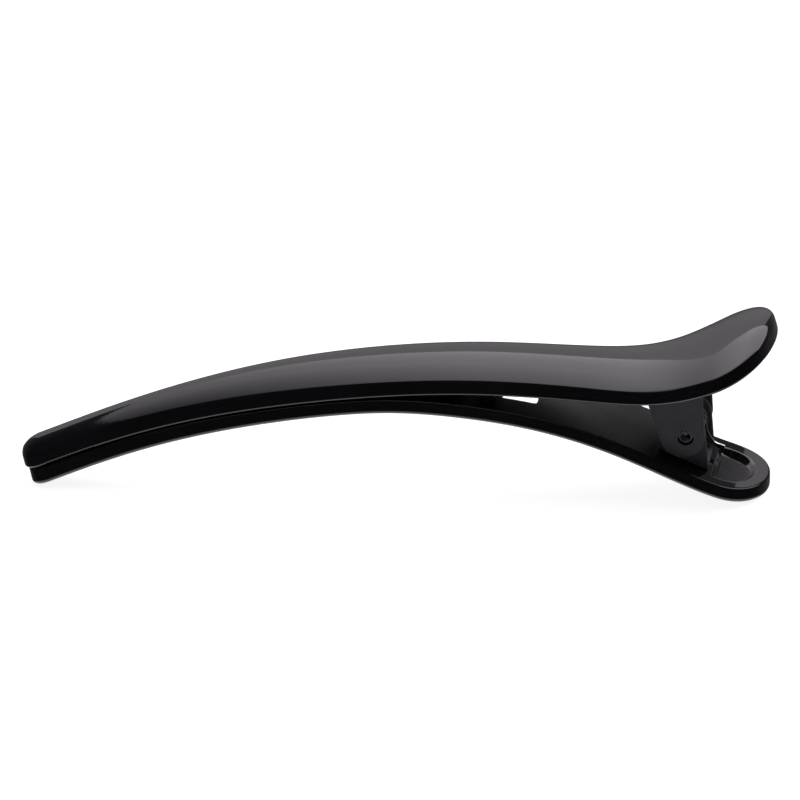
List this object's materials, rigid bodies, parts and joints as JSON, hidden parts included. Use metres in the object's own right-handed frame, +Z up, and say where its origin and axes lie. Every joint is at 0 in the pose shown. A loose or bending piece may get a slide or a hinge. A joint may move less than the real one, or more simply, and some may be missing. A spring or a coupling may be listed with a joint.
{
  "type": "sectioning clip",
  "caption": "Black beak-shaped hair sectioning clip: long curved moulded jaws on a sprung steel hinge, opened by squeezing the thumb tabs.",
  "frame": {"origin": "on the table, under the middle of the clip's bounding box, as it stands on its lower arm's two ends", "axes": "+X along the clip from the jaw tips to the thumb tabs, +Y across it along the hinge pin, +Z up"},
  "size_m": [0.1116, 0.02, 0.0276],
  "materials": {
    "gloss_black_plastic": "polished black moulding",
    "satin_black_steel": "satin black coated sheet steel",
    "pin_steel": "blackened steel",
    "spring_steel": "bright drawn wire"
  },
  "bodies": {
    "lower_half": {"lower_arm": "gloss_black_plastic", "lower_hinge_bracket": "satin_black_steel", "hinge_pin": "pin_steel", "torsion_spring": "spring_steel"},
    "upper_half": {"upper_arm": "gloss_black_plastic", "upper_hinge_bracket": "satin_black_steel"}
  },
  "joints": [
    {"name": "jaw_hinge", "type": "hinge", "parent": "lower_half", "child": "upper_half", "pos_m": [0.04206, 0, 0.01052], "axis": [0, 1, 0], "range_deg": [0, 35], "stiffness_Nm_per_rad": 0.06, "springref_deg": -28.65, "deforming": ["torsion_spring"]}
  ]
}
